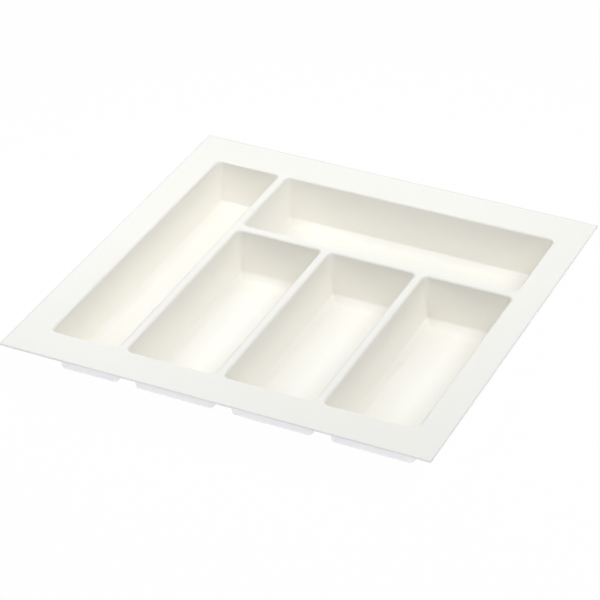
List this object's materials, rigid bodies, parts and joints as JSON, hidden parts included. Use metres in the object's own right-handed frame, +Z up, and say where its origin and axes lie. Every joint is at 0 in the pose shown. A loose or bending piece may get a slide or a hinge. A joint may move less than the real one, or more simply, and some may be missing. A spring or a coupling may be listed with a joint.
{
  "type": "cutlery tray",
  "caption": "Drawer insert for cutlery, formed from one white plastic sheet: long, wide and equal short sloping-walled wells under a broad flat flange that can be trimmed.",
  "frame": {"origin": "under the middle of the tray, on the plane that the undersides of the wells stand on", "axes": "+X to the right and +Y away from the person using the drawer, +Z up out of the wells' mouths"},
  "size_m": [0.49, 0.49, 0.0568],
  "materials": {
    "white_plastic": "satin, warm white sheet"
  },
  "bodies": {
    "root": {"long_well": "white_plastic", "back_well": "white_plastic", "front_left_well": "white_plastic", "front_middle_well": "white_plastic", "front_right_well": "white_plastic", "rim": "white_plastic"}
  },
  "joints": []
}
